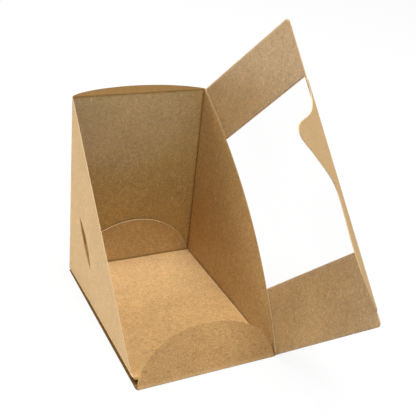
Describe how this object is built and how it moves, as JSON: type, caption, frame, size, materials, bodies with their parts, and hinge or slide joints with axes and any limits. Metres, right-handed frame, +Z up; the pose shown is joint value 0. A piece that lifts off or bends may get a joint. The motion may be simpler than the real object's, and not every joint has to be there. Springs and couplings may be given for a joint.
{
  "type": "kraft sandwich pack",
  "caption": "Wedge-shaped takeaway sandwich pack of folded brown board, with a windowed lid on the long edge of one side and a closing flap that ends in a tongue.",
  "frame": {"origin": "centre of the underside of the base", "axes": "+X across the pack towards the side that carries the lid, +Y from the front to the back wall, +Z up"},
  "size_m": [0.103, 0.2105, 0.1838],
  "materials": {
    "board": "matte natural brown board with fine fibres",
    "board_inside": "matte natural brown board, inner side",
    "board_flap": "matte natural brown board, outer side",
    "film": "thin clear glossy film"
  },
  "bodies": {
    "tray": {"tray": "board"},
    "lid": {"lid": "board_inside", "window_film": "film"},
    "closing_flap": {"closing_flap": "board_flap"}
  },
  "joints": [
    {"name": "lid_fold", "type": "hinge", "parent": "tray", "child": "lid", "pos_m": [0.044, -0.00035, 0.06186], "axis": [0, 0.7128, 0.7014], "range_deg": [-99.2, 35]},
    {"name": "closing_flap_fold", "type": "hinge", "parent": "lid", "child": "closing_flap", "pos_m": [0.05853, -0.06151, 0.12401], "axis": [0, 0.7128, 0.7014], "range_deg": [-32, 88]}
  ]
}
